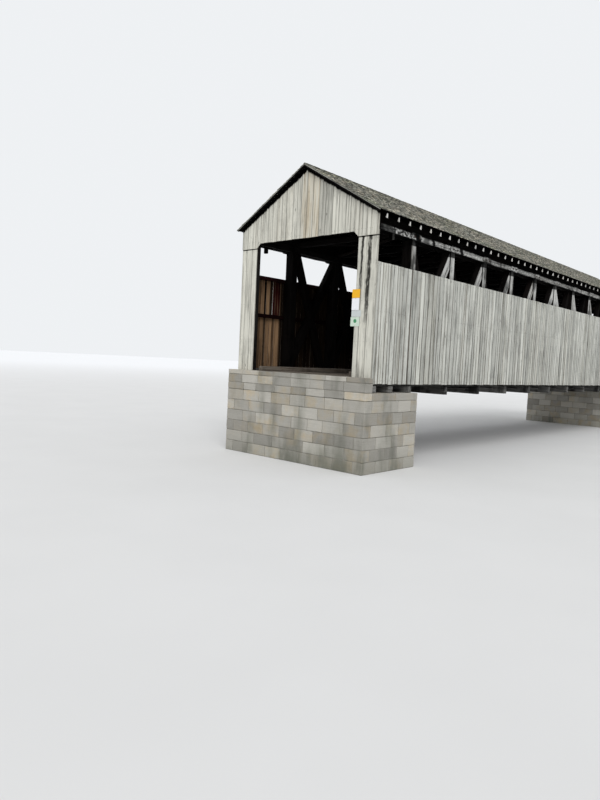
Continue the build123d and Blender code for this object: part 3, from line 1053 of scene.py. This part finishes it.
# The tone and warmth of the lower and the upper length of the left side's butted boards, by the
# joint beyond each. In part they paint the light and shade that fall through the portal on the
# inside of the wall.
butted = {-13.17: ((0.0, 0.0), (0.1, 0.0)), -12.97: ((0.4, 0.0), (0.8, 0.0)),
          -12.89: ((-0.2, 0.1), (-0.4, 0.1)), -12.69: ((0.5, 0.0), (0.9, 0.0)),
          -12.54: ((0.9, 0.0), (-0.3, 0.0)), -12.43: ((0.1, 0.1), (0.1, 3.0)),
          -12.17: ((0.9, 0.0), (0.2, 3.0))}
for side, sign in side_signs.items():
    low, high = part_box(f"siding_{side}")
    outward = Vector((0, sign, 0))
    face_y = sign * outer_y
    boards, spots = blank(), []
    joints = list(near_joints[side])
    while joints[-1] < high.x - widest_last:
        joints.append(joints[-1] + lumber.triangular(0.13, 0.30, 0.2))
    for start, stop in zip([low.x] + joints, joints + [high.x]):
        gap = min(lumber.uniform(*board_gaps[side]), 0.003 if stop == high.x else 1)
        wide = wide_gaps[side][1] if stop == wide_gaps[side][0] else gap
        bottom, top = low.z + lumber.uniform(0, 0.02), high.z - lumber.uniform(0, 0.012)
        look = lumber.random(), lumber.random() ** 3 * 0.5
        lengths = [(bottom, top, wide, look)]
        if side == "left" and stop in butted:
            lower, upper = butted[stop]
            lengths = [(bottom, girt_z[1], gap, lower), (girt_z[1], top, wide, upper)]
        for foot, head, opened, (tone, warmth) in lengths:
            centre = Vector(((start + stop - opened) / 2, face_y - sign * board_thickness / 2,
                             (foot + head) / 2))
            place = laid(centre, (0, 0, 1), outward)
            size = (head - foot, stop - start - opened, board_thickness)
            board = plank(size, place, cuts=5, bow=0.004)
            finish_plank(boards, board, place, outer_openness(1), tone, warmth)
        width = stop - gap - start
        spots += [Vector((start + width * part, face_y, z + lumber.uniform(-0.02, 0.02)))
                  for z in girt_z for part in (0.22, 0.78)]
    stand_in(f"side_boards_{side}", boards, (side_wood,), "side_boards", f"siding_{side}")
    nail_heads(f"side_nails_{side}", spots, outward, "side_boards")

# Plates on the jamb
# Four blank enamelled plates screwed to the near right jamb, one above the other: a yellow one,
# a white one and two pale ones, the lowest with a plain green disc.


def enamel(name, colour):
    made, shade = new_material(name)
    place = shade.place()
    across, up, _ = shade.own_map("edge").parts()
    rim = across.rises(0.9, 1) + up.rises(0.9, 1)
    grime, dirt = place.noise(9, 4, 0.6), place.noise((70, 70, 30))
    worn = (grime.rises(0.6, 0.8) * 0.4 + rim * 0.1).mixed(colour, (0.16, 0.11, 0.07))
    shade.surface(worn.times(0.9 + dirt * 0.2), 0.35 + grime * 0.3, dirt, 0.0004)
    return made


plate_colours = ((0.86, 0.46, 0.02), (0.84, 0.85, 0.88), (0.56, 0.60, 0.59), (0.58, 0.69, 0.58))
plate_materials = [enamel(f"plate_enamel_{i}", colour) for i, colour in enumerate(plate_colours, 1)]
plate_materials += [enamel("plate_green", (0.06, 0.26, 0.12)), rusted_iron]
green, screws = 4, 5
plate_corner, rim_width, screw_inset, disc_radius = 0.016, 0.012, 0.022, 0.065
plates, outward = blank(), Vector((-1, 0, 0))
sorted_plates = sorted(islands("sign_plates"), key=lambda solid: -corners(solid)[1].z)
for number, solid in enumerate(sorted_plates):
    low, high = corners(solid)
    ease(solid, lengthwise(solid), plate_corner, segments=3)
    front = min(solid.faces, key=lambda face: face.calc_center_median().x)
    bmesh.ops.inset_region(solid, faces=[front], thickness=rim_width, depth=0.0)
    bmesh.ops.inset_region(solid, faces=[front], thickness=0.002, depth=-0.001)
    for face in solid.faces:
        face.material_index = number
    bmesh.ops.recalc_face_normals(solid, faces=solid.faces)
    middle, half_y, half_z = (low + high) / 2, (high.y - low.y) / 2, (high.z - low.z) / 2
    layer = solid.loops.layers.uv["edge"]
    for face in solid.faces:
        for loop in face.loops:
            offset = loop.vert.co - middle
            loop[layer].uv = (abs(offset.y) / half_y, abs(offset.z) / half_z)
    paint(solid, 0.5, 1, 0)
    for z in (low.z + screw_inset, high.z - screw_inset):
        stud(solid, Vector((low.x, middle.y, z)), outward, nail_radius, nail_proud, sides=8,
             material=screws)
    if solid is sorted_plates[-1]:
        disc_middle = Vector((low.x + 0.0005, middle.y, middle.z + 0.02))
        stud(solid, disc_middle, outward, disc_radius, 0.0015, sides=24, material=green)
    add_to(plates, solid)
stand_in("jamb_plates", plates, plate_materials, "sign_metal", "sign_plates")

# Floor, light and camera
# A pale studio floor at the foot of the abutments, an even pale sky and one broad soft lamp that
# falls alike on the portal and the right side. The camera stands where the photo was taken.


def studio_floor():
    made, shade = new_material("studio_floor")
    place = shade.place()
    mottle = place.noise(0.4, 2)
    away = place.node("VectorMath", {"operation": "LENGTH"}, {0: place}, "Value").rises(20, 140)
    pale = mottle.rises(0.2, 0.8).mixed((0.73, 0.73, 0.72), (0.75, 0.75, 0.74))
    shade.surface(away.mixed(pale, (0.93, 0.94, 0.95)), 0.9, mottle, 0.0001)
    return made


ground = bmesh.new()
bmesh.ops.create_circle(ground, cap_ends=True, segments=64, radius=400)
floor = new_object("floor", as_mesh("floor", ground))
floor.data.materials.append(studio_floor())

world = bpy.data.worlds.new("pale_sky")
sky = fresh_nodes(world)
seen, glossy, transmitted = sky.node("LightPath", output=("Is Camera Ray", "Is Glossy Ray",
                                                          "Is Transmission Ray"))
lighting = sky.node("Background", inputs={"Color": (0.70, 0.71, 0.73, 1), "Strength": 1})
backdrop = sky.node("Background", inputs={"Color": (0.86, 0.88, 0.90, 1), "Strength": 1})
shown = seen.larger(glossy).larger(transmitted)
mixed = sky.node("MixShader", inputs={0: shown, 1: lighting, 2: backdrop})
sky.node("OutputWorld", inputs={"Surface": mixed})
bpy.context.scene.world = world

lamp = new_object("soft_lamp", bpy.data.lights.new("soft_lamp", "SUN"))
lamp.data.energy = 1.5
lamp.data.angle = math.radians(35)
lamp.rotation_euler = Vector((1, 1, -1.2)).to_track_quat("-Z", "Y").to_euler()

photo_height, focal_pixels, sensor = 800, 625.431, 36
camera_place = (-29.002, -13.683, 3.291)
yaw, tilt, roll = math.radians(42.271), math.radians(-3.731), math.radians(2.765)
ahead = Vector((math.cos(yaw) * math.cos(tilt), math.sin(yaw) * math.cos(tilt), math.sin(tilt)))
right_way = Vector((math.sin(yaw), -math.cos(yaw), 0))
up_way = right_way.cross(ahead)
rolled_right = right_way * math.cos(roll) + up_way * math.sin(roll)
rolled_up = up_way * math.cos(roll) - right_way * math.sin(roll)
camera = new_object("camera", bpy.data.cameras.new("camera"))
view = Matrix((rolled_right, rolled_up, -ahead)).transposed().to_4x4()
view.translation = Vector(camera_place)
camera.matrix_world = view
camera.data.sensor_width = sensor
camera.data.lens = focal_pixels / photo_height * sensor
camera.data.clip_end = 1000
bpy.context.scene.camera = camera
bpy.context.scene.view_settings.view_transform = "Standard"
